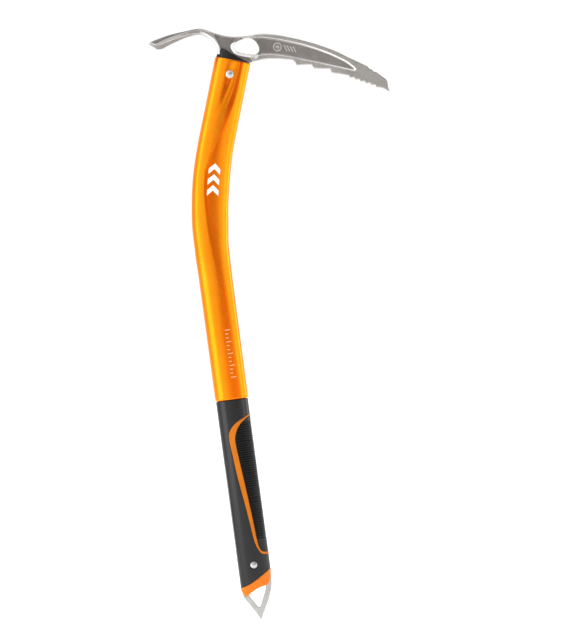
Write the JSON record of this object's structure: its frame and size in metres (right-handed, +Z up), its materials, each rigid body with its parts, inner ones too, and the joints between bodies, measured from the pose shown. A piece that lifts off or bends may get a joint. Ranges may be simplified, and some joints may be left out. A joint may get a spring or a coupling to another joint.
{
  "type": "ice axe",
  "caption": "Technical ice axe: forged head with toothed pick, adze and clip eye, bent oval shaft, rubber grip, and a flat spike with a clip eye.",
  "frame": {"origin": "the spike's point", "axes": "+Z up the straight lower shaft to the head, +X toward the pick, +Y to the left of a user who looks along the pick; symmetric about the plane Y = 0"},
  "size_m": [0.2376, 0.052, 0.6045],
  "materials": {
    "forged_steel": "forged and bead-blasted steel, satin",
    "collar_black": "moulded black plastic, slight sheen",
    "anodised_orange": "orange anodised aluminium, satin",
    "rivet_steel": "plain bright steel",
    "grip_orange": "orange moulded rubber, matt",
    "grip_black": "black moulded rubber, matt",
    "cap_orange": "orange moulded plastic, matt",
    "spike_steel": "plated steel, satin"
  },
  "bodies": {
    "root": {"head": "forged_steel", "head_collar": "collar_black", "shaft": "anodised_orange", "head_rivet": "rivet_steel", "grip_core": "grip_orange", "grip_sleeve": "grip_black", "grip_front_pad": "grip_black", "end_cap": "cap_orange", "spike": "spike_steel", "spike_rivet": "rivet_steel"}
  },
  "joints": []
}
